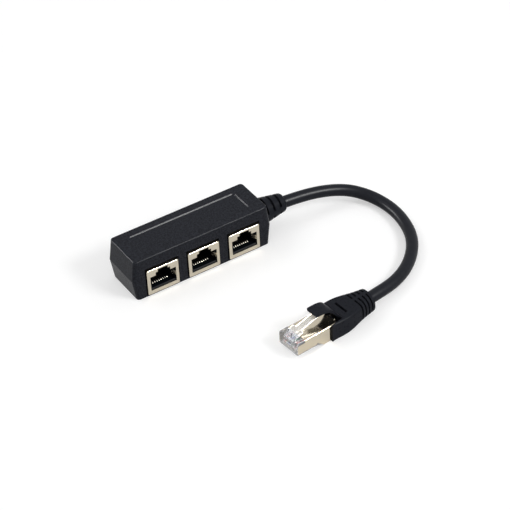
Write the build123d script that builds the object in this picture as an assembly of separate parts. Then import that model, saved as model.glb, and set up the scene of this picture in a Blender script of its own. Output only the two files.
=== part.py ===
from build123d import *
import os
from math import cos, pi, radians, sin, tan

# A network splitter: a moulded block with three shielded sockets, and a short
# lead that ends in one shielded plug. Millimetres. The origin is the middle of
# the block's underside, +Z is up, the sockets face -Y and the lead leaves at +X.

# Block. Its length is that of the row of sockets with room at each end.
BLOCK_END_ROOM = 5.1
BLOCK_DEPTH = 21.3
BLOCK_HEIGHT = 20.6
SEAM_HEIGHT = 10.1
END_SWELL = 1.35
BACK_SWELL = 0.5
CORNER_RADIUS = 1.6
TOP_EDGE_RADIUS = 0.5
FOOT_EDGE_RADIUS = 0.3
WALL = 1.6
LIP_WIDTH = 0.7
LIP_HEIGHT = 1.0
LIP_CLEARANCE = 0.05
PANEL_LENGTH = 54.0
PANEL_DEPTH = 12.9
PANEL_SINK = 0.4
PANEL_RADIUS = 1.2

# Sockets
JACK_NAMES = ("left", "middle", "right")
JACK_PITCH = 20.65
JACK_ROW_OFFSET = 0.0
JACK_WIDTH = 15.7
JACK_HEIGHT = 12.9
JACK_PROUD = 0.6
JACK_LIFT = 0.9
SHIELD_SHEET = 0.3
SHIELD_EDGE_RADIUS = 0.25
SHIELD_CLEARANCE = 0.05
WINDOW_SIDE_GAP = 0.5
WINDOW_TOP_GAP = 1.2
MOUTH_WIDTH = 12.0
MOUTH_FLOOR = 2.8
MOUTH_HEIGHT = 6.5
MOUTH_DEPTH = 13.0
MOUTH_MARGIN = 0.35
STEP_WIDTH = 7.2
STEP_HEIGHT = 1.55
NOTCH_WIDTH = 4.9
NOTCH_ROOF = 0.8
SILL_DROP = 0.85
SILL_CHAMFER = 0.3
FINGER_HEIGHT = 2.0
FINGER_LIFT = 4.9
FINGER_REACH = 2.4
FINGER_LEAN = 1.3
FINGER_FLARE = (0.5, 1.2)
FINGER_POCKET_GAP = 0.3
CONTACT_COUNT = 8
CONTACT_PITCH = 1.02
CONTACT_WIDTH = 0.4
CONTACT_SHEET = 0.3
CONTACT_SETBACK = 4.0
CONTACT_RISE = 3.9
CONTACT_RUN = 7.6
CONTACT_DROP = 1.1
CONTACT_SLOT = 0.6
CONTACT_SLOT_LEAD = 1.0
LEG_WIDTH = 1.6

# Circuit board
BOARD_END_GAP = 1.0
BOARD_THICKNESS = 1.6
BOARD_CLEARANCE = 0.1
TAIL_LENGTH = 0.6
TAIL_HOLE = 0.7
BOARD_RIB = 2.0
BOARD_RIB_DEPTH = 0.8

# Lead
CABLE_DIAMETER = 5.5
CABLE_CLEARANCE = 0.1
JACKET_INSIDE = 0.2
WIRE_DIAMETER = 0.9
WIRE_START_GAP = 0.3
RELIEF_LENGTH = 13.2
RELIEF_ROOT_RADIUS = 6.7
RELIEF_END_RADIUS = 4.4
RELIEF_SHOULDER = 1.4
RELIEF_NECK_RADIUS = 4.4
RELIEF_FLANGE_RADIUS = 5.8
RELIEF_FLANGE = 1.2
RELIEF_GROOVES = 3
RELIEF_GROOVE_START = 1.35
RELIEF_GROOVE_PITCH = 3.75
RELIEF_GROOVE_WIDTH = 1.2
RELIEF_GROOVE_DEPTH = 1.5
RELIEF_BRIDGE = 2.2

# Plug. Lengths along the plug are counted from its nose.
NOSE_X = 0.6
NOSE_Y = -75.9
PLUG_YAW = 5.3
PLUG_WIDTH = 11.7
PLUG_TOP = 8.16
PLUG_FRONT_HEIGHT = 6.4
PLUG_REAR_HEIGHT = 7.7
PLUG_LENGTH = 21.5
PLUG_AXIS_HEIGHT = 4.7
PLUG_SHEET = 0.25
PLUG_CLEARANCE = 0.05
COLLAR_LENGTH = 2.6
STRAP_WIDTH = 4.4
SHELL_FRONT = 4.4
SHELL_CHEEK = 0.5
SHELL_CHEEK_TOP = 6.9
SHELL_SKIRT = 2.45
SHELL_STEP = 10.4
JACKET_SEAT = 1.0
BLADE_THICKNESS = 0.32
BLADE_LENGTH = 5.9
BLADE_START = 1.3
LATCH_WIDTH = 6.0
LEVER_WIDTH = 3.2
LATCH_SHOULDER = 5.6
LATCH_PIVOT = (0.75, 7.55)
LATCH_BARREL = 0.5
PIVOT_CLEARANCE = 0.06

# Boot. Lengths are counted from its open end, which grips the plug's rear.
BOOT_GRIP = 3.2
BOOT_HOLLOW_LENGTH = 12.2
BOOT_HOLLOW_WIDTH = 9.2
BOOT_FLOOR = 0.9
BOOT_SEAT_WALL = 0.45
BOOT_GROOVES = 4
BOOT_GROOVE_START = 16.5
BOOT_GROOVE_PITCH = 2.03
BOOT_GROOVE_WIDTH = 0.8
BOOT_GROOVE_DEPTH = 1.2
BOOT_BRIDGE = 1.4
BOOT_SLOT_LENGTH = 7.5
BOOT_SLOT_WIDTH = 1.1
BOOT_SLOT_PLACE = 10.1
FLAP_WIDTH = 6.8
FLAP_ROOT_WIDTH = 10.4
FLAP_SWEEP = 4.5
FLAP_CORNER_RADIUS = 1.0
FLAP_PLACE = 6.6
FLAP_SIDE_GAP = 0.3
FLAP_BAY_FLARE = 0.9
FLAP_PIVOT_HEIGHT = 8.3
FLAP_BARREL = 0.45

# Boot sections: distance from its open end, width, height, upper and lower corner radius
BOOT_SECTIONS = (
    (0, 13.9, 8.8, 0.5, 0.5),
    (5.7, 14.0, 8.8, 0.5, 0.7),
    (10.7, 14.0, 8.9, 0.6, 1.6),
    (15.2, 13.2, 9.2, 2.0, 3.2),
    (19.7, 11.8, 9.5, 3.6, 4.0),
    (24.6, 10.5, 9.6, 4.5, 4.5),
)

# Flap's upper and lower lines from its root to its tip: distances forward of and above its pivot
FLAP_TOP = ((2.3, 3.3), (4.2, 5.5), (6.2, 6.3), (8.9, 6.6), (12.4, 6.6))
FLAP_UNDER = ((12.3, 5.85), (9.1, 5.7), (6.9, 5.35), (5.1, 4.6), (3.2, 2.8))

# Latch's upper and lower lines from its root to its tip: distances from the nose, heights
LATCH_TOP = ((1.6, 9.1), (6.4, 10.8), (13.2, 12.6), (16.6, 13.3))
LATCH_UNDER = ((16.8, 12.4), (13.2, 11.5), (6.4, 9.75), (4.0, 9.1), (2.1, 8.66), (1.55, 8.3))

# Worked out from the sizes above
JACK_ROW_LENGTH = (len(JACK_NAMES) - 1) * JACK_PITCH + JACK_WIDTH
BLOCK_LENGTH = JACK_ROW_LENGTH + 2 * BLOCK_END_ROOM
FRONT_Y = -BLOCK_DEPTH / 2
BACK_Y = BLOCK_DEPTH / 2
JACK_FACE_Y = FRONT_Y - JACK_PROUD
BOARD_BACK_Y = BACK_Y - WALL - BOARD_RIB_DEPTH
BOARD_FRONT_Y = BOARD_BACK_Y - BOARD_THICKNESS
JACK_LENGTH = BOARD_FRONT_Y - JACK_FACE_Y
NOTCH_TOP = JACK_HEIGHT - NOTCH_ROOF
INNER_END_X = BLOCK_LENGTH / 2 - WALL
INNER_TOP = BLOCK_HEIGHT - WALL
BOARD_LENGTH = 2 * (INNER_END_X - BOARD_END_GAP)
CABLE_RADIUS = CABLE_DIAMETER / 2
CABLE_REST_Z = CABLE_RADIUS + CABLE_CLEARANCE
RELIEF_ROOT_X = BLOCK_LENGTH / 2 - 0.5
RELIEF_END_X = BLOCK_LENGTH / 2 + END_SWELL + RELIEF_LENGTH
JACKET_START_X = INNER_END_X + JACKET_INSIDE
JACKET_END = PLUG_LENGTH - JACKET_SEAT
BOOT_START = PLUG_LENGTH - BOOT_GRIP
BOOT_END = BOOT_START + BOOT_SECTIONS[-1][0]
FLAP_ROOT = BOOT_START + FLAP_PLACE
PLUG_FRONT_FLOOR = PLUG_TOP - PLUG_FRONT_HEIGHT
PLUG_REAR_FLOOR = PLUG_TOP - PLUG_REAR_HEIGHT
PLUG_PLACE = Location((NOSE_X, NOSE_Y, 0), (0, 0, PLUG_YAW))


def plug_point(along, height):
    """Place of a point of the plug's middle plane in the block's frame."""
    turn = radians(PLUG_YAW)
    return (NOSE_X + along * cos(turn), NOSE_Y + along * sin(turn), height)


# The lead's route: out of the block, down to the table, round, and up into the boot
CABLE_ROUTE = (
    (JACKET_START_X, 0, SEAM_HEIGHT),
    (53.6, 0, SEAM_HEIGHT),
    (76.6, -3.3, 7.0),
    (88.0, -13.2, 3.4),
    (90.45, -30.85, CABLE_REST_Z),
    (83.95, -50.75, CABLE_REST_Z),
    (66.6, -66.1, CABLE_REST_Z),
    plug_point(BOOT_END + 0.8, PLUG_AXIS_HEIGHT),
    plug_point(JACKET_END, PLUG_AXIS_HEIGHT),
)


def block(x0, x1, y0, y1, z0, z1):
    """Box between two corners."""
    return Pos((x0 + x1) / 2, (y0 + y1) / 2, (z0 + z1) / 2) * Box(x1 - x0, y1 - y0, z1 - z0)


def rod_x(x0, x1, y, z, radius):
    """Cylinder along X."""
    return Pos((x0 + x1) / 2, y, z) * Rot(0, 90, 0) * Cylinder(radius, x1 - x0)


def rod_y(x, y0, y1, z, radius):
    """Cylinder along Y."""
    return Pos(x, (y0 + y1) / 2, z) * Rot(90, 0, 0) * Cylinder(radius, y1 - y0)


def side_plate(outline, width, middle=0.0):
    """Closed outline in the X-Z plane, given a width along Y about a middle."""
    face = Plane.XZ * make_face(outline)
    return Pos(0, middle, 0) * extrude(face, amount=width / 2, both=True)


def bent_rod(points, radius, bend):
    """Round rod along straight runs joined by arcs."""
    path = FilletPolyline(*points, radius=bend)
    return sweep(Plane(path @ 0, z_dir=path % 0) * Circle(radius), path=path)


def block_section(height, end_swell, back_swell):
    """Level section of the block."""
    section = RectangleRounded(BLOCK_LENGTH + 2 * end_swell, BLOCK_DEPTH + back_swell, CORNER_RADIUS)
    return Pos(0, back_swell / 2, height) * section


def block_half(flat_height):
    """Solid half of the block, which tapers from the seam to its flat face."""
    seam = block_section(SEAM_HEIGHT, END_SWELL, BACK_SWELL)
    half = loft([seam, block_section(flat_height, 0, 0)])
    edge_radius = TOP_EDGE_RADIUS if flat_height > SEAM_HEIGHT else FOOT_EDGE_RADIUS
    end = -1 if flat_height > SEAM_HEIGHT else 0
    return fillet(half.edges().group_by(Axis.Z)[end], edge_radius)


def block_hollow(low, high, growth=0.0):
    """Room inside the walls between two heights."""
    length = BLOCK_LENGTH - 2 * WALL + 2 * growth
    depth = BLOCK_DEPTH - 2 * WALL + 2 * growth
    section = Pos(0, 0, low) * RectangleRounded(length, depth, CORNER_RADIUS / 2 + growth)
    return extrude(section, amount=high - low)


def jack_place(index):
    """Middle of a socket along the block."""
    return JACK_ROW_OFFSET + (index - 1) * JACK_PITCH


def jack_rooms():
    """Room that the three shields take in the shells, with a wider window in the front wall."""
    half = JACK_WIDTH / 2 + SHIELD_CLEARANCE
    top = JACK_LIFT + JACK_HEIGHT + SHIELD_CLEARANCE
    wide = JACK_WIDTH / 2 + WINDOW_SIDE_GAP
    window_top = JACK_LIFT + JACK_HEIGHT + WINDOW_TOP_GAP
    rooms = []
    for index in range(len(JACK_NAMES)):
        x = jack_place(index)
        rooms.append(block(x - half, x + half, JACK_FACE_Y - 1, BOARD_FRONT_Y, JACK_LIFT, top))
        rooms.append(block(x - wide, x + wide, JACK_FACE_Y - 1, FRONT_Y + WALL, JACK_LIFT, window_top))
    return rooms


def lip_ring(clearance):
    """Tongue that runs round the lower shell and locates the upper one."""
    low = SEAM_HEIGHT - clearance
    high = SEAM_HEIGHT + LIP_HEIGHT + clearance
    outer = block_hollow(low, high, LIP_WIDTH + clearance)
    return outer if clearance else outer - block_hollow(low, high)


def board_ribs(low, high):
    """Ribs on the back wall that the board stands against."""
    ribs = []
    for index in range(len(JACK_NAMES) + 1):
        x = JACK_ROW_OFFSET + (index - 1.5) * JACK_PITCH
        ribs.append(block(x - BOARD_RIB / 2, x + BOARD_RIB / 2, BOARD_BACK_Y, BACK_Y - WALL / 2, low, high))
    return ribs


def relief_hole():
    """Round hole for the sleeve's neck through the end wall."""
    return rod_x(INNER_END_X - 1, BLOCK_LENGTH, 0, SEAM_HEIGHT, RELIEF_NECK_RADIUS)


def panel_section(rise):
    """Level section of the recess in the top, whose walls slope at 45 degrees."""
    section = RectangleRounded(PANEL_LENGTH + 2 * rise, PANEL_DEPTH + 2 * rise, PANEL_RADIUS + rise)
    return Pos(0, 0, BLOCK_HEIGHT + rise) * section


def sunken_panel():
    """Shallow rectangular recess in the top."""
    return loft([panel_section(-PANEL_SINK), panel_section(PANEL_SINK)])


def upper_shell():
    shell = block_half(BLOCK_HEIGHT) - block_hollow(SEAM_HEIGHT, INNER_TOP)
    shell += board_ribs(SEAM_HEIGHT + LIP_HEIGHT + LIP_CLEARANCE, INNER_TOP + WALL / 2)
    shell -= lip_ring(LIP_CLEARANCE)
    shell -= sunken_panel()
    shell -= relief_hole()
    return shell - jack_rooms()


def lower_shell():
    shell = block_half(0) - block_hollow(WALL, SEAM_HEIGHT)
    shell += board_ribs(WALL / 2, SEAM_HEIGHT - LIP_CLEARANCE)
    shell += lip_ring(0)
    shell -= relief_hole()
    return shell - jack_rooms()


# A socket is drawn with its front face at Y = 0 and its underside at Z = 0.
def mouth_outline(margin, floor, top):
    """Stepped opening: plug room, latch step and latch notch."""
    half = MOUTH_WIDTH / 2 + margin
    step = STEP_WIDTH / 2
    notch = NOTCH_WIDTH / 2
    shoulder = MOUTH_FLOOR + MOUTH_HEIGHT
    step_top = shoulder + STEP_HEIGHT
    right = [(half, floor), (half, shoulder), (step, shoulder), (step, step_top), (notch, step_top), (notch, top)]
    left = [(-x, z) for x, z in reversed(right)]
    return Polyline(*right, *left, close=True)


def mouth_room(margin, floor, top, start, end):
    """Stepped opening between two depths."""
    face = Plane.XZ * make_face(mouth_outline(margin, floor, top))
    return extrude(Pos(0, start, 0) * face, amount=end - start, dir=(0, 1, 0))


def shield_legs():
    """Four legs that pass through the board."""
    legs = []
    for side in (-1, 1):
        x = side * (JACK_WIDTH - SHIELD_SHEET) / 2
        for z in (0.25 * JACK_HEIGHT, 0.75 * JACK_HEIGHT):
            end = JACK_LENGTH + BOARD_THICKNESS + TAIL_LENGTH
            legs.append(Pos(x, (JACK_LENGTH + end) / 2, z) * Box(SHIELD_SHEET, end - JACK_LENGTH, LEG_WIDTH))
    return legs


def finger(side):
    """Spring finger folded from the edge of the opening into the socket."""
    edge = MOUTH_WIDTH / 2 + MOUTH_MARGIN
    root = (side * edge, SHIELD_SHEET)
    tip = (side * (edge - FINGER_LEAN), FINGER_REACH)
    flare = (side * (edge - FINGER_LEAN + FINGER_FLARE[0]), FINGER_REACH + FINGER_FLARE[1])
    thick = side * SHIELD_SHEET
    outline = Polyline(
        (root[0], 0), root, tip, flare, (flare[0] + thick, flare[1]), (tip[0] + thick, tip[1]),
        (root[0] + thick, root[1]), (root[0] + thick, 0), close=True,
    )
    strip = extrude(make_face(outline), amount=FINGER_HEIGHT)
    return Pos(0, 0, FINGER_LIFT) * strip


def jack_shield():
    """Folded nickel box with a stepped opening in its face."""
    half = JACK_WIDTH / 2
    sheet = SHIELD_SHEET
    box = block(-half, half, 0, JACK_LENGTH, 0, JACK_HEIGHT)
    box = fillet(box.edges().filter_by(Axis.Y), 2 * sheet)
    box = fillet(box.faces().sort_by(Axis.Y)[0].edges(), SHIELD_EDGE_RADIUS)
    room = block(-half + sheet, half - sheet, sheet, JACK_LENGTH + 1, sheet, JACK_HEIGHT - sheet)
    mouth = mouth_room(MOUTH_MARGIN, MOUTH_FLOOR - SILL_DROP, NOTCH_TOP, -1, sheet + 1)
    return box - room - mouth + shield_legs() + [finger(-1), finger(1)]


def contact_places():
    """Middles of the contacts across a socket or plug."""
    return [(index - (CONTACT_COUNT - 1) / 2) * CONTACT_PITCH for index in range(CONTACT_COUNT)]


def jack_insert():
    """Black moulding that fills the shield round the plug's room."""
    half = JACK_WIDTH / 2 - SHIELD_SHEET - SHIELD_CLEARANCE
    low = SHIELD_SHEET + SHIELD_CLEARANCE
    high = JACK_HEIGHT - SHIELD_SHEET - SHIELD_CLEARANCE
    front = SHIELD_SHEET + SHIELD_CLEARANCE
    body = block(-half, half, front, JACK_LENGTH, low, high)
    body -= mouth_room(0, MOUTH_FLOOR, NOTCH_TOP, 0, MOUTH_DEPTH)
    front_edges = body.faces().sort_by(Axis.Y)[0].edges().filter_by(Axis.X)
    sill = front_edges.filter_by_position(Axis.Z, MOUTH_FLOOR - 0.1, MOUTH_FLOOR + 0.1)
    body = chamfer(sill, SILL_CHAMFER)
    pocket_low = FINGER_LIFT - FINGER_POCKET_GAP
    pocket_top = FINGER_LIFT + FINGER_HEIGHT + FINGER_POCKET_GAP
    pocket_end = FINGER_REACH + FINGER_FLARE[1] + FINGER_POCKET_GAP
    pocket_edge = MOUTH_WIDTH / 2 + MOUTH_MARGIN + SHIELD_SHEET + 2 * SHIELD_CLEARANCE
    body -= block(-pocket_edge, pocket_edge, 0, pocket_end, pocket_low, pocket_top)
    slot = CONTACT_SLOT / 2
    slot_front = CONTACT_SETBACK - CONTACT_SLOT_LEAD
    slot_floor = contact_height() - CONTACT_SHEET / 2
    for x in contact_places():
        body -= block(x - slot, x + slot, slot_front, JACK_LENGTH + 1, slot_floor, MOUTH_FLOOR + 0.1)
    return body


def contact_height():
    """Height of a contact wire where it lies under the socket's floor."""
    return MOUTH_FLOOR - CONTACT_DROP


def jack_contact():
    """Spring wire: tail through the board, run forward, bend, and slope back into the plug's room."""
    low = contact_height()
    path = FilletPolyline(
        (0, JACK_LENGTH + BOARD_THICKNESS + TAIL_LENGTH, low),
        (0, CONTACT_SETBACK, low),
        (0, CONTACT_SETBACK + CONTACT_RUN, low + CONTACT_RISE),
        radius=0.35,
    )
    section = Plane(path @ 0, x_dir=(1, 0, 0), z_dir=path % 0) * Rectangle(CONTACT_WIDTH, CONTACT_SHEET)
    return sweep(section, path=path)


def jack_contacts():
    """Row of spring wires."""
    contact = jack_contact()
    return Compound([Pos(x, 0, 0) * contact for x in contact_places()])


def circuit_board():
    """Upright board behind the sockets, drilled for their tails and legs."""
    half = BOARD_LENGTH / 2
    low = WALL + BOARD_CLEARANCE
    board = block(-half, half, BOARD_FRONT_Y, BOARD_BACK_Y, low, INNER_TOP - BOARD_CLEARANCE)
    holes = []
    for index in range(len(JACK_NAMES)):
        middle = jack_place(index)
        for x in contact_places():
            z = JACK_LIFT + contact_height()
            holes.append(rod_y(middle + x, BOARD_FRONT_Y - 1, BOARD_BACK_Y + 1, z, TAIL_HOLE / 2))
        for side in (-1, 1):
            x = middle + side * (JACK_WIDTH - SHIELD_SHEET) / 2
            for z in (0.25 * JACK_HEIGHT, 0.75 * JACK_HEIGHT):
                slot = Box(2 * SHIELD_SHEET, BOARD_THICKNESS + 2, LEG_WIDTH + 0.2)
                holes.append(Pos(x, BOARD_FRONT_Y + BOARD_THICKNESS / 2, JACK_LIFT + z) * slot)
    return board - holes


def board_wires():
    """Eight wire ends that fan out of the jacket and turn back to the board."""
    gap_middle = (jack_place(2) + JACK_WIDTH / 2 + INNER_END_X - RELIEF_FLANGE) / 2
    wires = []
    for index in range(CONTACT_COUNT):
        row, column = divmod(index, 2)
        y = (column - 0.5) * CONTACT_PITCH
        z = SEAM_HEIGHT + (row - 1.5) * CONTACT_PITCH
        spread = SEAM_HEIGHT + (index - (CONTACT_COUNT - 1) / 2) * CONTACT_PITCH
        start = (JACKET_START_X - WIRE_START_GAP, y, z)
        points = (start, (gap_middle, y, spread), (gap_middle, BOARD_FRONT_Y, spread))
        wires.append(bent_rod(points, WIRE_DIAMETER / 2, 0.6))
    return Compound(wires)


def relief_slope():
    """Fall of the sleeve's radius for each millimetre along it."""
    return (RELIEF_ROOT_RADIUS - RELIEF_END_RADIUS) / (RELIEF_END_X - RELIEF_SHOULDER - RELIEF_ROOT_X)


def relief_profile():
    """Half section of the sleeve, measured from the middle line: neck, flange and taper."""
    inner = INNER_END_X - RELIEF_FLANGE
    root = RELIEF_ROOT_X
    nose = RELIEF_END_X
    taper_end = (nose - RELIEF_SHOULDER, RELIEF_END_RADIUS)
    shoulder = (nose, RELIEF_END_RADIUS - RELIEF_SHOULDER)
    top = Polyline(
        (inner, RELIEF_NECK_RADIUS), (inner, RELIEF_FLANGE_RADIUS), (INNER_END_X, RELIEF_FLANGE_RADIUS),
        (INNER_END_X, RELIEF_NECK_RADIUS), (root, RELIEF_NECK_RADIUS), (root, RELIEF_ROOT_RADIUS), taper_end,
    )
    cap = TangentArc(taper_end, shoulder, tangent=(1, -relief_slope()))
    close = Polyline(shoulder, (nose, CABLE_RADIUS), (JACKET_START_X, CABLE_RADIUS), (inner, RELIEF_NECK_RADIUS))
    return make_face([top, cap, close])


def relief_groove(index):
    """Ring cut, left whole at a bridge on each side."""
    start = BLOCK_LENGTH / 2 + END_SWELL + RELIEF_GROOVE_START + index * RELIEF_GROOVE_PITCH
    end = start + RELIEF_GROOVE_WIDTH
    floor_radius = RELIEF_ROOT_RADIUS - relief_slope() * (start - RELIEF_ROOT_X) - RELIEF_GROOVE_DEPTH
    reach = RELIEF_ROOT_RADIUS + 1
    bridge = RELIEF_BRIDGE / 2
    ring = rod_x(start, end, 0, SEAM_HEIGHT, reach)
    core = rod_x(start - 1, end + 1, 0, SEAM_HEIGHT, floor_radius)
    sides = block(start - 1, end + 1, -reach, reach, SEAM_HEIGHT - bridge, SEAM_HEIGHT + bridge)
    return ring - core - sides


def strain_relief():
    """Tapered sleeve held in the end wall, with ring cuts that let it bend."""
    sleeve = Pos(0, 0, SEAM_HEIGHT) * revolve(relief_profile(), Axis.X)
    for index in range(RELIEF_GROOVES):
        sleeve -= relief_groove(index)
    end = block(INNER_END_X, BLOCK_LENGTH, -BLOCK_DEPTH, BLOCK_DEPTH, 0, BLOCK_HEIGHT)
    for half in (block_half(BLOCK_HEIGHT), block_half(0)):
        sleeve -= (half & end) - relief_hole()
    return sleeve


def cable_radii():
    """Radius of the bend at each inner point of the route."""
    points = [Vector(*point) for point in CABLE_ROUTE]
    radii = []
    for before, here, after in zip(points, points[1:], points[2:]):
        run = min((here - before).length, (after - here).length)
        turn = radians((here - before).get_angle(after - here))
        radii.append(0.45 * run / tan(turn / 2))
    return radii


def cable():
    """Round jacket from inside the block to inside the plug."""
    path = FilletPolyline(*CABLE_ROUTE, radius=cable_radii())
    jacket = sweep(Plane(path @ 0, z_dir=path % 0) * Circle(CABLE_RADIUS), path=path)
    radii = ", ".join(f"{radius:.1f}" for radius in cable_radii())
    print(f"cable: length {path.length:.1f}, bends {radii}")
    print(f"cable: volume {jacket.volume:.0f}, section times length {pi * CABLE_RADIUS ** 2 * path.length:.0f}")
    return jacket


# The plug is drawn along +X from its nose, with its middle at Y = 0.
def plug_body():
    """Clear moulding: flush nose, and a narrower body that the shell wraps."""
    half = PLUG_WIDTH / 2
    core = half - PLUG_SHEET
    top = PLUG_TOP - PLUG_SHEET
    nose = block(0, SHELL_FRONT, -half, half, PLUG_FRONT_FLOOR, PLUG_TOP)
    nose = chamfer(nose.edges().filter_by(Axis.Y).group_by(Axis.X)[0], 0.5)
    nose -= block(SHELL_CHEEK, SHELL_FRONT + 1, core, half + 1, 0, SHELL_CHEEK_TOP)
    nose -= block(SHELL_CHEEK, SHELL_FRONT + 1, -half - 1, -core, 0, SHELL_CHEEK_TOP)
    outline = Polyline(
        (SHELL_FRONT, PLUG_FRONT_FLOOR), (SHELL_FRONT, top), (PLUG_LENGTH, top),
        (PLUG_LENGTH, PLUG_REAR_FLOOR + PLUG_SHEET), (SHELL_STEP + 3.4, PLUG_REAR_FLOOR + PLUG_SHEET),
        (SHELL_STEP + 0.6, PLUG_FRONT_FLOOR), close=True,
    )
    body = nose + side_plate(outline, 2 * core)
    row = CONTACT_COUNT * CONTACT_PITCH
    axis = PLUG_AXIS_HEIGHT
    wire = WIRE_DIAMETER / 2 + 0.04
    body -= block(BLADE_START, 9.5, -row / 2, row / 2, axis - wire, axis + wire)
    throat = Polyline(
        (9.4, axis - wire), (9.4, axis + wire), (14.0, axis + 2.4), (PLUG_LENGTH + 1, axis + 2.4),
        (PLUG_LENGTH + 1, axis - 2.4), (14.0, axis - 2.4), close=True,
    )
    body -= side_plate(throat, row)
    body -= rod_x(JACKET_END, PLUG_LENGTH + 1, 0, axis, CABLE_RADIUS + 0.1)
    for y in contact_places():
        slot = BLADE_THICKNESS / 2 + 0.04
        body -= block(BLADE_START - 0.05, BLADE_START + BLADE_LENGTH + 0.05, y - slot, y + slot, 0, axis)
    seat_x, seat_z = LATCH_PIVOT
    width = LATCH_WIDTH / 2 + PIVOT_CLEARANCE
    body -= rod_y(seat_x, -width, width, seat_z, LATCH_BARREL + PIVOT_CLEARANCE)
    return body - block(-1, 1.9, -width, width, seat_z, PLUG_TOP + 1)


def plug_shell():
    """Folded sheet over the clear body, with cheeks that run forward beside the nose."""
    half = PLUG_WIDTH / 2
    sheet = PLUG_SHEET
    floor = PLUG_REAR_FLOOR
    side = Polyline(
        (SHELL_CHEEK, SHELL_SKIRT), (SHELL_CHEEK, SHELL_CHEEK_TOP), (SHELL_FRONT, SHELL_CHEEK_TOP),
        (SHELL_FRONT, PLUG_TOP), (PLUG_LENGTH, PLUG_TOP), (PLUG_LENGTH, floor), (SHELL_STEP + 3.6, floor),
        (SHELL_STEP + 3.0, floor + 0.6), (SHELL_STEP + 0.5, SHELL_SKIRT + 0.6), (SHELL_STEP, SHELL_SKIRT),
        close=True,
    )
    shell = side_plate(side, 2 * half)
    shell = fillet(shell.edges().filter_by(Axis.X).group_by(Axis.Z)[-1], 2 * sheet)
    inner = side_plate(Polyline(
        (0, 0), (0, PLUG_TOP - sheet), (PLUG_LENGTH + 1, PLUG_TOP - sheet), (PLUG_LENGTH + 1, floor + sheet),
        (SHELL_STEP + 3.6, floor + sheet), (SHELL_STEP + 3.4, floor + sheet), (SHELL_STEP + 3.4, 0), close=True,
    ), 2 * (half - sheet))
    return shell - inner + crimp_collar()


def crimp_collar():
    """Ring clenched on the jacket, joined to the shell's floor by a strap."""
    half = STRAP_WIDTH / 2
    end = PLUG_LENGTH + COLLAR_LENGTH
    start = end - COLLAR_LENGTH / 2
    strap = block(PLUG_LENGTH - 0.5, end, -half, half, PLUG_REAR_FLOOR, PLUG_REAR_FLOOR + PLUG_SHEET)
    riser = block(start, end, -half, half, PLUG_REAR_FLOOR, PLUG_AXIS_HEIGHT)
    ring = rod_x(start, end, 0, PLUG_AXIS_HEIGHT, CABLE_RADIUS + PLUG_SHEET)
    return strap + (riser + ring - rod_x(start - 1, end + 1, 0, PLUG_AXIS_HEIGHT, CABLE_RADIUS))


def plug_contacts():
    """Blades in the underside of the nose, which stand up to the wires."""
    top = PLUG_AXIS_HEIGHT - WIRE_DIAMETER / 2
    low = PLUG_FRONT_FLOOR + 0.3
    end = BLADE_START + BLADE_LENGTH
    outline = Polyline(
        (BLADE_START, low + 0.5), (BLADE_START, top - 0.6), (BLADE_START + 0.8, top), (end - 0.4, top),
        (end, top - 0.4), (end, low), (BLADE_START + 0.5, low), close=True,
    )
    return Compound([side_plate(outline, BLADE_THICKNESS, y) for y in contact_places()])


def plug_wire(pin):
    """One coloured wire, from the jacket's end to the nose. Pin 1 is on the +Y side."""
    y = -contact_places()[pin - 1]
    lift = 0.55 if pin % 2 else -0.55
    points = (
        (JACKET_END - WIRE_START_GAP, 0.48 * y, PLUG_AXIS_HEIGHT + lift),
        (9.8, y, PLUG_AXIS_HEIGHT),
        (BLADE_START + 0.1, y, PLUG_AXIS_HEIGHT),
    )
    return bent_rod(points, WIRE_DIAMETER / 2, 3.0)


def wire_pair(first, second):
    """Two wires of one colour."""
    return Compound([plug_wire(first), plug_wire(second)])


def plug_latch():
    """Latch lever: round root in the nose, wide part with shoulders, narrow lever."""
    px, pz = LATCH_PIVOT
    root = (px + 0.1, pz + LATCH_BARREL)
    heel = (px + LATCH_BARREL - 0.05, pz)
    top = Spline(root, *LATCH_TOP)
    tip = Line(LATCH_TOP[-1], LATCH_UNDER[0])
    under = Polyline(*LATCH_UNDER, heel)
    lever = side_plate([top, tip, under, Line(heel, root)], LATCH_WIDTH)
    for side in (-1, 1):
        edges = sorted((side * LEVER_WIDTH / 2, side * (LATCH_WIDTH / 2 + 1)))
        lever -= block(LATCH_SHOULDER, LATCH_UNDER[0][0] + 1, edges[0], edges[1], 0, LATCH_TOP[-1][1] + 1)
    barrel = rod_y(px, -LATCH_WIDTH / 2, LATCH_WIDTH / 2, pz, LATCH_BARREL)
    return lever + barrel


def boot_face(along, width, height, top_radius, low_radius):
    """Section of the boot, standing on the table."""
    face = Rectangle(width, height)
    face = fillet(face.vertices().group_by(Axis.Y)[-1], top_radius)
    face = fillet(face.vertices().group_by(Axis.Y)[0], low_radius)
    return Plane(origin=(along, 0, height / 2), x_dir=(0, 1, 0), z_dir=(1, 0, 0)) * face


def boot_size(along):
    """Width, height and corner radii of the boot at a distance from its open end."""
    for before, after in zip(BOOT_SECTIONS, BOOT_SECTIONS[1:]):
        if along <= after[0]:
            share = (along - before[0]) / (after[0] - before[0])
            return [low + share * (high - low) for low, high in zip(before[1:], after[1:])]
    return list(BOOT_SECTIONS[-1][1:])


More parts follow.
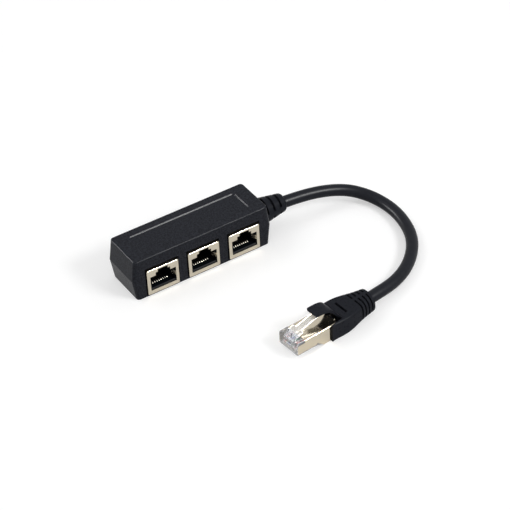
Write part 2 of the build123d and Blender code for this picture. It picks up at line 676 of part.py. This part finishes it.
def boot_groove(index):
    """Cut round the neck, left whole at a bridge above and below."""
    place = BOOT_GROOVE_START + index * BOOT_GROOVE_PITCH
    width, height, top_radius, low_radius = boot_size(place)
    start = BOOT_START + place
    end = start + BOOT_GROOVE_WIDTH
    depth = BOOT_GROOVE_DEPTH
    half = BOOT_BRIDGE / 2
    core = Rectangle(width - 2 * depth, height - 2 * depth)
    core = fillet(core.vertices(), min(top_radius, low_radius) - depth)
    middle = Plane(origin=(start - 1, 0, height / 2), x_dir=(0, 1, 0), z_dir=(1, 0, 0))
    core = extrude(middle * core, amount=BOOT_GROOVE_WIDTH + 2)
    ring = block(start, end, -width, width, -1, height + 1)
    return ring - core - block(start - 1, end + 1, -half, half, -2, height + 2)


def boot_hollow():
    """Room for the plug's rear and its crimp collar. The cable makes its own bore."""
    half = PLUG_WIDTH / 2 + PLUG_CLEARANCE
    low = PLUG_REAR_FLOOR - PLUG_CLEARANCE
    side = BOOT_HOLLOW_WIDTH / 2
    mouth_end = PLUG_LENGTH + PLUG_CLEARANCE
    collar_end = PLUG_LENGTH + COLLAR_LENGTH + PLUG_CLEARANCE
    collar_top = PLUG_AXIS_HEIGHT + CABLE_RADIUS + PLUG_SHEET + PLUG_CLEARANCE
    seat_low = FLAP_PIVOT_HEIGHT - FLAP_BARREL - PIVOT_CLEARANCE
    strap = STRAP_WIDTH / 2 + PLUG_CLEARANCE
    return [
        block(BOOT_START - 1, mouth_end, -half, half, low, PLUG_TOP + PLUG_CLEARANCE),
        block(BOOT_START, collar_end, -side, side, BOOT_FLOOR, collar_top),
        block(BOOT_START, collar_end, -strap, strap, low, PLUG_AXIS_HEIGHT),
        block(BOOT_START, BOOT_START + BOOT_HOLLOW_LENGTH, -side, side, BOOT_FLOOR, seat_low - BOOT_SEAT_WALL),
    ]


def flap_bay():
    """Opening in the boot's top under the flap, wider towards the front, and the flap's seat."""
    rear = FLAP_ROOT_WIDTH / 2 + FLAP_SIDE_GAP
    front = rear + FLAP_BAY_FLARE
    start = BOOT_START - 1
    outline = Polyline((start, -front), (FLAP_ROOT, -rear), (FLAP_ROOT, rear), (start, front), close=True)
    low = FLAP_PIVOT_HEIGHT - FLAP_BARREL - PIVOT_CLEARANCE - BOOT_SEAT_WALL
    bay = extrude(Pos(0, 0, low) * make_face(outline), amount=5)
    seat = rod_y(FLAP_ROOT, -rear, rear, FLAP_PIVOT_HEIGHT, FLAP_BARREL + PIVOT_CLEARANCE)
    return [bay, seat]


def boot():
    """Hood over the plug's rear, square in front and round at the cable."""
    hood = Pos(BOOT_START, 0, 0) * loft([boot_face(*section) for section in BOOT_SECTIONS])
    for index in range(BOOT_GROOVES):
        hood -= boot_groove(index)
    middle = BOOT_START + BOOT_SLOT_PLACE
    half = BOOT_SLOT_WIDTH / 2
    side = BOOT_SLOT_LENGTH / 2
    slot = block(middle - half, middle + half, -side, side, PLUG_AXIS_HEIGHT, 2 * PLUG_TOP)
    return hood - boot_hollow() - flap_bay() - slot


def flap_plan():
    """Outline of the flap from above: wide at the crease, swept in to a parallel tongue."""
    root = FLAP_ROOT_WIDTH / 2
    half = FLAP_WIDTH / 2
    waist = FLAP_ROOT - FLAP_SWEEP
    end = FLAP_ROOT - FLAP_TOP[0][0] - FLAP_TOP[-1][0]
    left = Spline((FLAP_ROOT, root), (waist, half), tangents=((-1, -1), (-1, 0)))
    tongue = Polyline((waist, half), (end, half), (end, -half), (waist, -half))
    right = Spline((waist, -half), (FLAP_ROOT, -root), tangents=((1, 0), (1, -1)))
    return make_face([left, tongue, right, Line((FLAP_ROOT, -root), (FLAP_ROOT, root))])


def boot_flap():
    """Curved tongue that rises from the crease and reaches forward over the latch."""
    root = (FLAP_ROOT, FLAP_PIVOT_HEIGHT + FLAP_BARREL)
    heel = (FLAP_ROOT - FLAP_BARREL, FLAP_PIVOT_HEIGHT)
    upper = [(FLAP_ROOT - forward, FLAP_PIVOT_HEIGHT + rise) for forward, rise in FLAP_TOP]
    lower = [(FLAP_ROOT - forward, FLAP_PIVOT_HEIGHT + rise) for forward, rise in FLAP_UNDER]
    top = Spline(root, *upper)
    tip = Line(upper[-1], lower[0])
    under = Spline(*lower, heel)
    tongue = side_plate([top, tip, under, Line(heel, root)], FLAP_ROOT_WIDTH)
    tongue &= extrude(flap_plan(), amount=3 * PLUG_TOP)
    corners = tongue.edges().filter_by(Axis.Z, tolerance=15).group_by(Axis.X)[0]
    tongue = fillet(corners, FLAP_CORNER_RADIUS)
    half = FLAP_ROOT_WIDTH / 2
    return tongue + rod_y(FLAP_ROOT, -half, half, FLAP_PIVOT_HEIGHT, FLAP_BARREL)


def all_parts():
    """Every piece by name, each in the block's frame."""
    parts = {"upper_shell": upper_shell(), "lower_shell": lower_shell()}
    shield, insert, contacts = jack_shield(), jack_insert(), jack_contacts()
    for index, name in enumerate(JACK_NAMES):
        place = Pos(jack_place(index), JACK_FACE_Y, JACK_LIFT)
        parts[f"jack_{name}_shield"] = place * shield
        parts[f"jack_{name}_insert"] = place * insert
        parts[f"jack_{name}_contacts"] = place * contacts
    parts["circuit_board"] = circuit_board()
    parts["board_wires"] = board_wires()
    parts["strain_relief"] = strain_relief()
    parts["cable"] = cable()
    plug = {
        "plug_body": plug_body(), "plug_shell": plug_shell(), "plug_contacts": plug_contacts(),
        "orange_wires": wire_pair(1, 2), "green_wires": wire_pair(3, 6),
        "blue_wires": wire_pair(4, 5), "brown_wires": wire_pair(7, 8),
        "plug_latch": plug_latch(), "boot": boot(), "boot_flap": boot_flap(),
    }
    parts.update({name: PLUG_PLACE * piece for name, piece in plug.items()})
    parts["boot"] -= parts["cable"]
    return parts


os.makedirs("parts", exist_ok=True)
for part_name, part in all_parts().items():
    export_step(part, f"parts/{part_name}.step")
    print(part_name, len(part.solids()), round(part.volume, 1))
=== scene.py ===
"""Looks of a network splitter: a moulded block with three sockets and a short lead with one plug."""
import math

import bpy
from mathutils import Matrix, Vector


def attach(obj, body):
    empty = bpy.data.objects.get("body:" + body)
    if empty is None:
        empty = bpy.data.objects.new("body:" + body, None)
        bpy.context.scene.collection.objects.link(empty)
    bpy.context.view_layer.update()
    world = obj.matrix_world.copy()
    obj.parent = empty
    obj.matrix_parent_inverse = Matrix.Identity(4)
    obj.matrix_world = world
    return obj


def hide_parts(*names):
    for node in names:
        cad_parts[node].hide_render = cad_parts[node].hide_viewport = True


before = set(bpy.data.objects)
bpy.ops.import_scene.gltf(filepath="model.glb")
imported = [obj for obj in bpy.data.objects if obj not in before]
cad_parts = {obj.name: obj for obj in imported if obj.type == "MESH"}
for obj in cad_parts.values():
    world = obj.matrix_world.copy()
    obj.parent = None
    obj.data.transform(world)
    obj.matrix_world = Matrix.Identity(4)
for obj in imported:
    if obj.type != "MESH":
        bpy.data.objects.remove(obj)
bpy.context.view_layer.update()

MM = 0.001

# The plug lies beside the block. Lengths along it are counted from its nose.
NOSE = (0.6, -75.9)
PLUG_TURN = math.radians(5.3)
PLUG_AXIS_HEIGHT = 4.7
JACKET_END = 20.5

CABLE_DIAMETER = 5.5
CABLE_REST_Z = 2.85
SEAM_HEIGHT = 10.1

JACK_PITCH = 20.65
JACK_FACE_Y = -11.25
JACK_LIFT = 0.9
CONTACT_COUNT = 8
CONTACT_PITCH = 1.02

# A socket spring from its tail to its free end: distances behind the socket's face and heights
# above its underside. It turns over in the mouth at the third point.
SPRING_LINE = ((20.1, 1.7), (3.45, 1.7), (3.45, 2.75), (11.6, 5.6))
SPRING_WIDTH = 0.3
SPRING_THICKNESS = 0.3
SPRING_BEND_RADIUS = 0.3

SPRING_INPUTS = (
    ("Line", "NodeSocketGeometry"), ("Width", "NodeSocketFloat"), ("Thickness", "NodeSocketFloat"),
    ("Bend Radius", "NodeSocketFloat"), ("Springs", "NodeSocketInt"), ("Spring Step", "NodeSocketVector"),
    ("Sockets", "NodeSocketInt"), ("Socket Step", "NodeSocketVector"), ("Finish", "NodeSocketMaterial"),
)

# Round marks on top of the plug's nose: distances from its front and from its middle
EJECTOR_MARKS = ((2.4, 2.5, 0), (2.0, -0.2, 0))

# Specular levels of the black plastics. They are far under the real one, because the white room
# would grey the black over.
ABS_GLOSS = 0.04
PVC_GLOSS = 0.02
JACKET_GLOSS = 0.05
PBT_GLOSS = 0.02

# Lamps and table, in metres
LIT_POINT = (0.03, -0.03, 0)
KEY_PLACE = (0.51, -0.79, 0.8)
FILL_PLACE = (-0.5, 0.5, 0.9)
RIM_PLACE = (-0.9, 0.85, 0.35)
ROOM_LIGHT = 0.6
TABLE_HALF = 3.0
TABLE_GLOW = 0.42


def plug_point(along, across, height):
    """Point of the plug in the block's frame, in millimetres."""
    x = NOSE[0] + along * math.cos(PLUG_TURN) - across * math.sin(PLUG_TURN)
    y = NOSE[1] + along * math.sin(PLUG_TURN) + across * math.cos(PLUG_TURN)
    return (x, y, height)


# The lead's route: out of the block, down to the table, round, and up into the boot
CABLE_ROUTE = (
    (32.2, 0, SEAM_HEIGHT),
    (53.6, 0, SEAM_HEIGHT),
    (76.6, -3.3, 7.0),
    (88.0, -13.2, 3.4),
    (90.45, -30.85, CABLE_REST_Z),
    (83.95, -50.75, CABLE_REST_Z),
    (66.6, -66.1, CABLE_REST_Z),
    plug_point(43.7, 0, PLUG_AXIS_HEIGHT),
    plug_point(JACKET_END, 0, PLUG_AXIS_HEIGHT),
)


def metres(point):
    """Turns a point in millimetres into metres."""
    return Vector(point) * MM


def linear(code):
    """Turns an sRGB hex colour into linear RGBA."""
    channels = [int(code[start:start + 2], 16) / 255 for start in (1, 3, 5)]
    return [c / 12.92 if c <= 0.04045 else ((c + 0.055) / 1.055) ** 2.4 for c in channels] + [1]


def add(tree, kind, inputs=None, **settings):
    """Adds a node with its settings, and sets or links its inputs."""
    made = tree.nodes.new(kind)
    for name, value in settings.items():
        setattr(made, name, value)
    for name, value in (inputs or {}).items():
        if isinstance(value, bpy.types.NodeSocket):
            tree.links.new(value, made.inputs[name])
        else:
            made.inputs[name].default_value = value
    return made


def new_material(name):
    """Empty material with its tree."""
    material = bpy.data.materials.new(name)
    material.use_nodes = True
    material.node_tree.nodes.clear()
    return material, material.node_tree


def finish_material(tree, inputs):
    """Principled surface that ends a tree."""
    shader = add(tree, "ShaderNodeBsdfPrincipled", inputs)
    add(tree, "ShaderNodeOutputMaterial", {"Surface": shader.outputs["BSDF"]})


def object_place(tree):
    """Object coordinates, which are those of the shared frame."""
    return add(tree, "ShaderNodeTexCoord").outputs["Object"]


def noise(tree, place, size, detail=2):
    """Random patches from 0 to 1, about this many millimetres across."""
    made = add(tree, "ShaderNodeTexNoise", {"Vector": place, "Scale": 1 / (size * MM), "Detail": detail})
    return made.outputs["Fac"]


def spread(tree, value, low, high):
    """Turns 0 to 1 into low to high."""
    made = add(tree, "ShaderNodeMapRange", {"Value": value, "To Min": low, "To Max": high})
    return made.outputs["Result"]


def fade(tree, distance, near, far):
    """1 up to the near distance and 0 from the far one, both in millimetres."""
    made = add(tree, "ShaderNodeMapRange", {
        "Value": distance, "From Min": near * MM, "From Max": far * MM, "To Min": 1, "To Max": 0,
    })
    return made.outputs["Result"]


def blend(tree, factor, first, second):
    """Goes from the first hex colour to the second."""
    made = add(tree, "ShaderNodeMix", {
        "Factor": factor, "A": linear(first), "B": linear(second),
    }, data_type="RGBA")
    return made.outputs["Result"]


def bumps(tree, height, strength, depth):
    """Normals of a surface that waves by this many millimetres."""
    made = add(tree, "ShaderNodeBump", {"Height": height, "Strength": strength, "Distance": depth * MM})
    return made.outputs["Normal"]


def calculate(tree, operation, *values):
    """Result of a sum on one to three values."""
    return add(tree, "ShaderNodeMath", dict(enumerate(values)), operation=operation).outputs["Value"]


def distance_in_plane(tree, place, plane, point):
    """Distance in metres from a point in millimetres, counted only along the axes that are 1 in plane."""
    flat = add(tree, "ShaderNodeVectorMath", {0: place, 1: plane}, operation="MULTIPLY").outputs["Vector"]
    made = add(tree, "ShaderNodeVectorMath", {0: flat, 1: metres(point)}, operation="DISTANCE")
    return made.outputs["Value"]


def spark_textured_abs():
    """Black ABS moulded against a spark-eroded tool: fine pits that break up the highlight."""
    material, tree = new_material("spark_textured_abs")
    place = object_place(tree)
    # Real pits are about 0.15 mm across. These are 0.7 mm, so that they show.
    pits = noise(tree, place, 0.7, 3)
    grain = add(tree, "ShaderNodeMapRange", {"Value": pits, "From Min": 0.35, "From Max": 0.65})
    finish_material(tree, {
        "Base Color": blend(tree, grain.outputs["Result"], "#1c1d22", "#2a2c32"),
        "Roughness": spread(tree, noise(tree, place, 6), 0.21, 0.27),
        "IOR": 1.53,
        "Specular IOR Level": ABS_GLOSS,
        "Normal": bumps(tree, pits, 0.6, 0.1),
    })
    return material


def satin_pvc(name, roughness, grain, gloss):
    """Soft black PVC, extruded or moulded: an even satin with slow waves in its gloss."""
    material, tree = new_material(name)
    waves = noise(tree, object_place(tree), grain, 3)
    finish_material(tree, {
        "Base Color": blend(tree, waves, "#1d1e23", "#25272c"),
        "Roughness": spread(tree, waves, roughness - 0.04, roughness + 0.04),
        "IOR": 1.53,
        "Specular IOR Level": gloss,
        "Normal": bumps(tree, waves, 0.2, 0.05),
    })
    return material


def pbt_with_painted_shade():
    """Black PBT of the socket's core: smooth, with a little sheen, drawn near-black with painted shade
    for the shaded mouth.
    """
    material, tree = new_material("pbt_with_painted_shade")
    flow = noise(tree, object_place(tree), 1.2)
    finish_material(tree, {
        # The near-black base is partly painted shade: darker than black PBT, standing for the mouth's
        # shade
        "Base Color": blend(tree, flow, "#06090d", "#0b0f14"),
        "Roughness": spread(tree, flow, 0.38, 0.5),
        "IOR": 1.55,
        "Specular IOR Level": PBT_GLOSS,
    })
    return material


def nickel_plate(name, roughness, colour):
    """Sheet brass or steel under bright nickel: warm mirror, with faint rolling marks."""
    material, tree = new_material(name)
    stretched = add(tree, "ShaderNodeMapping", {"Vector": object_place(tree), "Scale": (1, 1, 12)})
    marks = noise(tree, stretched.outputs["Vector"], 4, 4)
    finish_material(tree, {
        "Base Color": linear(colour),
        "Metallic": 1.0,
        "Roughness": spread(tree, marks, roughness - 0.03, roughness + 0.05),
        "Normal": bumps(tree, marks, 0.08, 0.02),
    })
    return material


def gold_flash():
    """Thin gold over nickel on the plug's blades: pale and bright, a little uneven with wear."""
    material, tree = new_material("gold_flash")
    wear = noise(tree, object_place(tree), 0.8)
    finish_material(tree, {
        "Base Color": blend(tree, wear, "#ecdcb2", "#f6eedb"), "Metallic": 1.0, "Roughness": 0.22,
    })
    return material


def gold_bend_and_painted_shade():
    """Spring wire in gold where it turns over at the mouth, with painted shade on the rest: the slopes
    are a near-black metal that stands for the mouth's shade.
    """
    material, tree = new_material("gold_bend_and_painted_shade")
    along, height = SPRING_LINE[2]
    bend = (0, JACK_FACE_Y + along, JACK_LIFT + height)
    # Gold near the bend; painted shade from 0.45 to 0.7 mm away from it and beyond
    gold_else_painted_shade = fade(tree, distance_in_plane(tree, object_place(tree), (0, 1, 1), bend), 0.45, 0.7)
    # The bronze is drawn near-black as painted shade, so that the slopes sink into the mouth's shade
    finish_material(tree, {
        "Base Color": blend(tree, gold_else_painted_shade, "#24211c", "#f8f2e2"), "Metallic": 1.0, "Roughness": 0.3,
    })
    return material


def plug_coordinates(tree):
    """Object coordinates turned into the plug's own directions, from the middle of its nose."""
    turned = add(tree, "ShaderNodeMapping", {
        "Vector": object_place(tree), "Location": metres((*NOSE, 0)), "Rotation": (0, 0, PLUG_TURN),
    }, vector_type="TEXTURE")
    return turned.outputs["Vector"]


def clear_polycarbonate(name, solidity):
    """Clear moulded polycarbonate: glass-like, slightly milky, with two ejector marks on the nose."""
    material, tree = new_material(name)
    place = plug_coordinates(tree)
    gaps = [distance_in_plane(tree, place, (1, 1, 0), mark) for mark in EJECTOR_MARKS]
    marked = fade(tree, calculate(tree, "MINIMUM", *gaps), 0.3, 0.45)
    finish_material(tree, {
        "Base Color": blend(tree, marked, "#f4f5f8", "#1a1a22"),
        "Roughness": spread(tree, noise(tree, place, 2), 0.02, 0.08),
        "IOR": 1.58,
        "Transmission Weight": 0.85,
        "Alpha": spread(tree, marked, solidity, 1.0),
    })
    return material


def plain_insulation(name, colour):
    """Glossy insulation of one colour, a little uneven as extruded."""
    material, tree = new_material(name)
    flow = noise(tree, object_place(tree), 1.5)
    finish_material(tree, {
        "Base Color": linear(colour), "Roughness": spread(tree, flow, 0.25, 0.38), "IOR": 1.5,
    })
    return material


def pair_insulation(name, colour):
    """Glossy insulation of a twisted pair: one wire in full colour, its mate white with a thin stripe."""
    material, tree = new_material(name)
    across = add(tree, "ShaderNodeSeparateXYZ", {"Vector": plug_coordinates(tree)}).outputs["Y"]
    # Pin 1 is on the +Y side. Each pin covers its number up to the next one, and odd pins are striped.
    pin = calculate(tree, "MULTIPLY_ADD", across, -1 / (CONTACT_PITCH * MM), 5.0)
    share = calculate(tree, "FLOORED_MODULO", pin, 2.0)
    striped = calculate(tree, "GREATER_THAN", share, 1.0)
    stripe = calculate(tree, "COMPARE", share, 1.5, 0.13)
    white = calculate(tree, "SUBTRACT", striped, stripe)
    finish_material(tree, {
        "Base Color": blend(tree, white, colour, "#e9e6e0"), "Roughness": 0.3, "IOR": 1.5,
    })
    return material


def solder_mask():
    """Green solder mask over glass epoxy, hidden inside the block."""
    material, tree = new_material("solder_mask")
    weave = noise(tree, object_place(tree), 0.6)
    finish_material(tree, {
        "Base Color": blend(tree, weave, "#134a2a", "#1b5c36"), "Roughness": 0.3, "IOR": 1.5,
    })
    return material


def dress(material, *names):
    """Gives CAD nodes a material."""
    for name in names:
        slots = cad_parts[name].data.materials
        slots.clear()
        slots.append(material)


def dress_nodes():
    """Every CAD node's finish."""
    sockets = ("jack_left", "jack_middle", "jack_right")
    dress(spark_textured_abs(), "upper_shell", "lower_shell")
    dress(satin_pvc("moulded_pvc", 0.28, 1.5, PVC_GLOSS), "strain_relief", "boot", "boot_flap")
    # The socket cores' finish is black PBT with painted shade
    dress(pbt_with_painted_shade(), *[f"{socket}_insert" for socket in sockets])
    dress(nickel_plate("socket_nickel", 0.2, "#c2baa9"), *[f"{socket}_shield" for socket in sockets])
    dress(nickel_plate("plug_nickel", 0.12, "#c0b7a5"), "plug_shell")
    dress(gold_flash(), "plug_contacts")
    dress(clear_polycarbonate("clear_polycarbonate", 0.8), "plug_body")
    dress(clear_polycarbonate("latch_polycarbonate", 0.95), "plug_latch")
    dress(solder_mask(), "circuit_board")
    dress(plain_insulation("white_insulation", "#d9d6cf"), "board_wires")
    dress(pair_insulation("orange_insulation", "#dc3c14"), "orange_wires")
    dress(pair_insulation("green_insulation", "#2c8058"), "green_wires")
    dress(pair_insulation("blue_insulation", "#2c50b4"), "blue_wires")
    dress(pair_insulation("brown_insulation", "#983020"), "brown_wires")


def spring_tree():
    """Geometry nodes that turn a bent line into a spring wire and repeat it in each socket."""
    tree = bpy.data.node_groups.new("spring_rows", "GeometryNodeTree")
    face = tree.interface
    for name, kind in SPRING_INPUTS:
        face.new_socket(name, in_out="INPUT", socket_type=kind)
    face.new_socket("Springs", in_out="OUTPUT", socket_type="NodeSocketGeometry")
    size = add(tree, "NodeGroupInput").outputs
    line = add(tree, "GeometryNodeMeshToCurve", {"Mesh": size["Line"]})
    bent = add(tree, "GeometryNodeFilletCurve", {
        "Curve": line.outputs["Curve"], "Count": 5, "Radius": size["Bend Radius"], "Limit Radius": True,
    }, mode="POLY")
    section = add(tree, "GeometryNodeCurvePrimitiveQuadrilateral", {
        "Width": size["Width"], "Height": size["Thickness"],
    })
    wire = add(tree, "GeometryNodeCurveToMesh", {
        "Curve": bent.outputs["Curve"], "Profile Curve": section.outputs["Curve"], "Fill Caps": True,
    }).outputs["Mesh"]
    for count, step in (("Springs", "Spring Step"), ("Sockets", "Socket Step")):
        places = add(tree, "GeometryNodeMeshLine", {"Count": size[count], "Offset": size[step]})
        wire = add(tree, "GeometryNodeInstanceOnPoints", {
            "Points": places.outputs["Mesh"], "Instance": wire,
        }).outputs["Instances"]
    real = add(tree, "GeometryNodeRealizeInstances", {"Geometry": wire})
    dressed = add(tree, "GeometryNodeSetMaterial", {
        "Geometry": real.outputs["Geometry"], "Material": size["Finish"],
    })
    add(tree, "NodeGroupOutput", {"Springs": dressed.outputs["Geometry"]})
    return tree


def socket_springs():
    """Eight spring wires in each socket: they rise at the mouth's floor, turn over and slope back."""
    first_x = -JACK_PITCH - (CONTACT_COUNT - 1) / 2 * CONTACT_PITCH
    points = [metres((first_x, JACK_FACE_Y + along, JACK_LIFT + height)) for along, height in SPRING_LINE]
    mesh = bpy.data.meshes.new("spring_line")
    mesh.from_pydata(points, [(index, index + 1) for index in range(len(points) - 1)], [])
    line = bpy.data.objects.new("spring_line", mesh)
    bpy.context.scene.collection.objects.link(line)
    rows = line.modifiers.new("spring_rows", "NODES")
    rows.node_group = spring_tree()
    values = {
        "Width": SPRING_WIDTH * MM, "Thickness": SPRING_THICKNESS * MM,
        "Bend Radius": SPRING_BEND_RADIUS * MM,
        "Springs": CONTACT_COUNT, "Spring Step": (CONTACT_PITCH * MM, 0, 0),
        # The springs' finish is gold at the bend and painted shade on the slopes
        "Sockets": 3, "Socket Step": (JACK_PITCH * MM, 0, 0), "Finish": gold_bend_and_painted_shade(),
    }
    for item in rows.node_group.interface.items_tree:
        if item.in_out == "INPUT" and item.name in values:
            rows[item.identifier] = values[item.name]
    made = line.evaluated_get(bpy.context.evaluated_depsgraph_get())
    springs = bpy.data.objects.new("socket_springs", bpy.data.meshes.new_from_object(made))
    bpy.context.scene.collection.objects.link(springs)
    bpy.data.objects.remove(line)
    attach(springs, "adapter")
    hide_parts("jack_left_contacts", "jack_middle_contacts", "jack_right_contacts")


def lead():
    """Jacketed cable along its route."""
    curve = bpy.data.curves.new("lead", "CURVE")
    curve.dimensions = "3D"
    spline = curve.splines.new("NURBS")
    spline.points.add(len(CABLE_ROUTE) - 1)
    for point, place in zip(spline.points, CABLE_ROUTE):
        point.co = (*metres(place), 1)
    spline.order_u = 3
    spline.use_endpoint_u = True
    spline.resolution_u = 32
    curve.bevel_depth = CABLE_DIAMETER / 2 * MM
    curve.bevel_resolution = 10
    curve.use_fill_caps = True
    curve.materials.append(satin_pvc("jacket_pvc", 0.34, 3.0, JACKET_GLOSS))
    cable = bpy.data.objects.new("lead", curve)
    bpy.context.scene.collection.objects.link(cable)
    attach(cable, "adapter")
    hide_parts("cable")


def table():
    """Plain pale surface that the object lies on."""
    mesh = bpy.data.meshes.new("table")
    corners = [(x * TABLE_HALF, y * TABLE_HALF, 0) for x, y in ((-1, -1), (1, -1), (1, 1), (-1, 1))]
    mesh.from_pydata(corners, [], [(0, 1, 2, 3)])
    material, tree = new_material("pale_table")
    finish_material(tree, {
        "Base Color": linear("#cfcfcf"), "Roughness": 0.9, "Specular IOR Level": 0.0,
        "Emission Color": linear("#ffffff"),
        "Emission Strength": calculate(tree, "MULTIPLY", seen_ray(tree), TABLE_GLOW),
    })
    mesh.materials.append(material)
    top = bpy.data.objects.new("table", mesh)
    bpy.context.scene.collection.objects.link(top)


def area_lamp(name, place, size, power):
    """Softbox that faces the object."""
    lamp = bpy.data.lights.new(name, "AREA")
    lamp.shape = "RECTANGLE"
    lamp.size, lamp.size_y = size
    lamp.energy = power
    box = bpy.data.objects.new(name, lamp)
    box.location = place
    box.rotation_euler = (Vector(LIT_POINT) - Vector(place)).to_track_quat("-Z", "Y").to_euler()
    bpy.context.scene.collection.objects.link(box)
    return box


def seen_ray(tree):
    """1 where a ray comes from the camera, or shows the background in metal or clear plastic."""
    path = add(tree, "ShaderNodeLightPath").outputs
    camera_or_gloss = calculate(tree, "MAXIMUM", path["Is Camera Ray"], path["Is Glossy Ray"])
    return calculate(tree, "MAXIMUM", camera_or_gloss, path["Is Transmission Ray"])


def studio():
    """Soft light from a bright room and two softboxes, and two lamps for highlights."""
    world = bpy.data.worlds.new("studio")
    bpy.context.scene.world = world
    world.use_nodes = True
    tree = world.node_tree
    tree.nodes.clear()
    light = add(tree, "ShaderNodeBackground", {"Color": linear("#ffffff"), "Strength": ROOM_LIGHT})
    seen = add(tree, "ShaderNodeBackground", {"Color": linear("#ffffff"), "Strength": 1.0})
    mix = add(tree, "ShaderNodeMixShader", {
        0: seen_ray(tree), 1: light.outputs["Background"], 2: seen.outputs["Background"],
    })
    add(tree, "ShaderNodeOutputWorld", {"Surface": mix.outputs["Shader"]})
    area_lamp("key", KEY_PLACE, (0.4, 0.3), 6)
    area_lamp("fill", FILL_PLACE, (0.7, 0.5), 2.5)
    # These two show only in highlights: the thin bright lines along edges, and the streak round the lead
    for name, place, size, power in (
        ("glint", KEY_PLACE, (0.25, 0.45), 42), ("rim", RIM_PLACE, (0.5, 0.3), 40),
    ):
        lamp = area_lamp(name, place, size, power)
        lamp.visible_diffuse = False
        lamp.visible_transmission = False


def camera():
    """Camera at the photograph's place, found from the block's and the plug's corners."""
    place = metres((-325.497, -603.192, 557.134))
    turn, pitch, roll = -30.667, -39.112, -3.292
    focal_pixels, frame_pixels = 2011.218, 510
    yaw, pitch, roll = math.radians(-turn), math.radians(pitch), math.radians(roll)
    ahead = Vector((math.sin(yaw) * math.cos(pitch), math.cos(yaw) * math.cos(pitch), math.sin(pitch)))
    side = ahead.cross(Vector((0, 0, 1))).normalized()
    up = side.cross(ahead)
    right = side * math.cos(roll) + up * math.sin(roll)
    above = up * math.cos(roll) - side * math.sin(roll)
    lens = bpy.data.cameras.new("camera")
    lens.sensor_width = 36
    lens.lens = focal_pixels / frame_pixels * lens.sensor_width
    lens.clip_start = 0.05
    lens.clip_end = 20
    view = bpy.data.objects.new("camera", lens)
    axes = (right, above, -ahead)
    for row in range(3):
        for column in range(3):
            view.matrix_world[row][column] = axes[column][row]
        view.matrix_world[row][3] = place[row]
    bpy.context.scene.collection.objects.link(view)
    bpy.context.scene.camera = view


camera()
lead()
dress_nodes()
socket_springs()
table()
studio()
bpy.context.scene.view_settings.view_transform = "Standard"
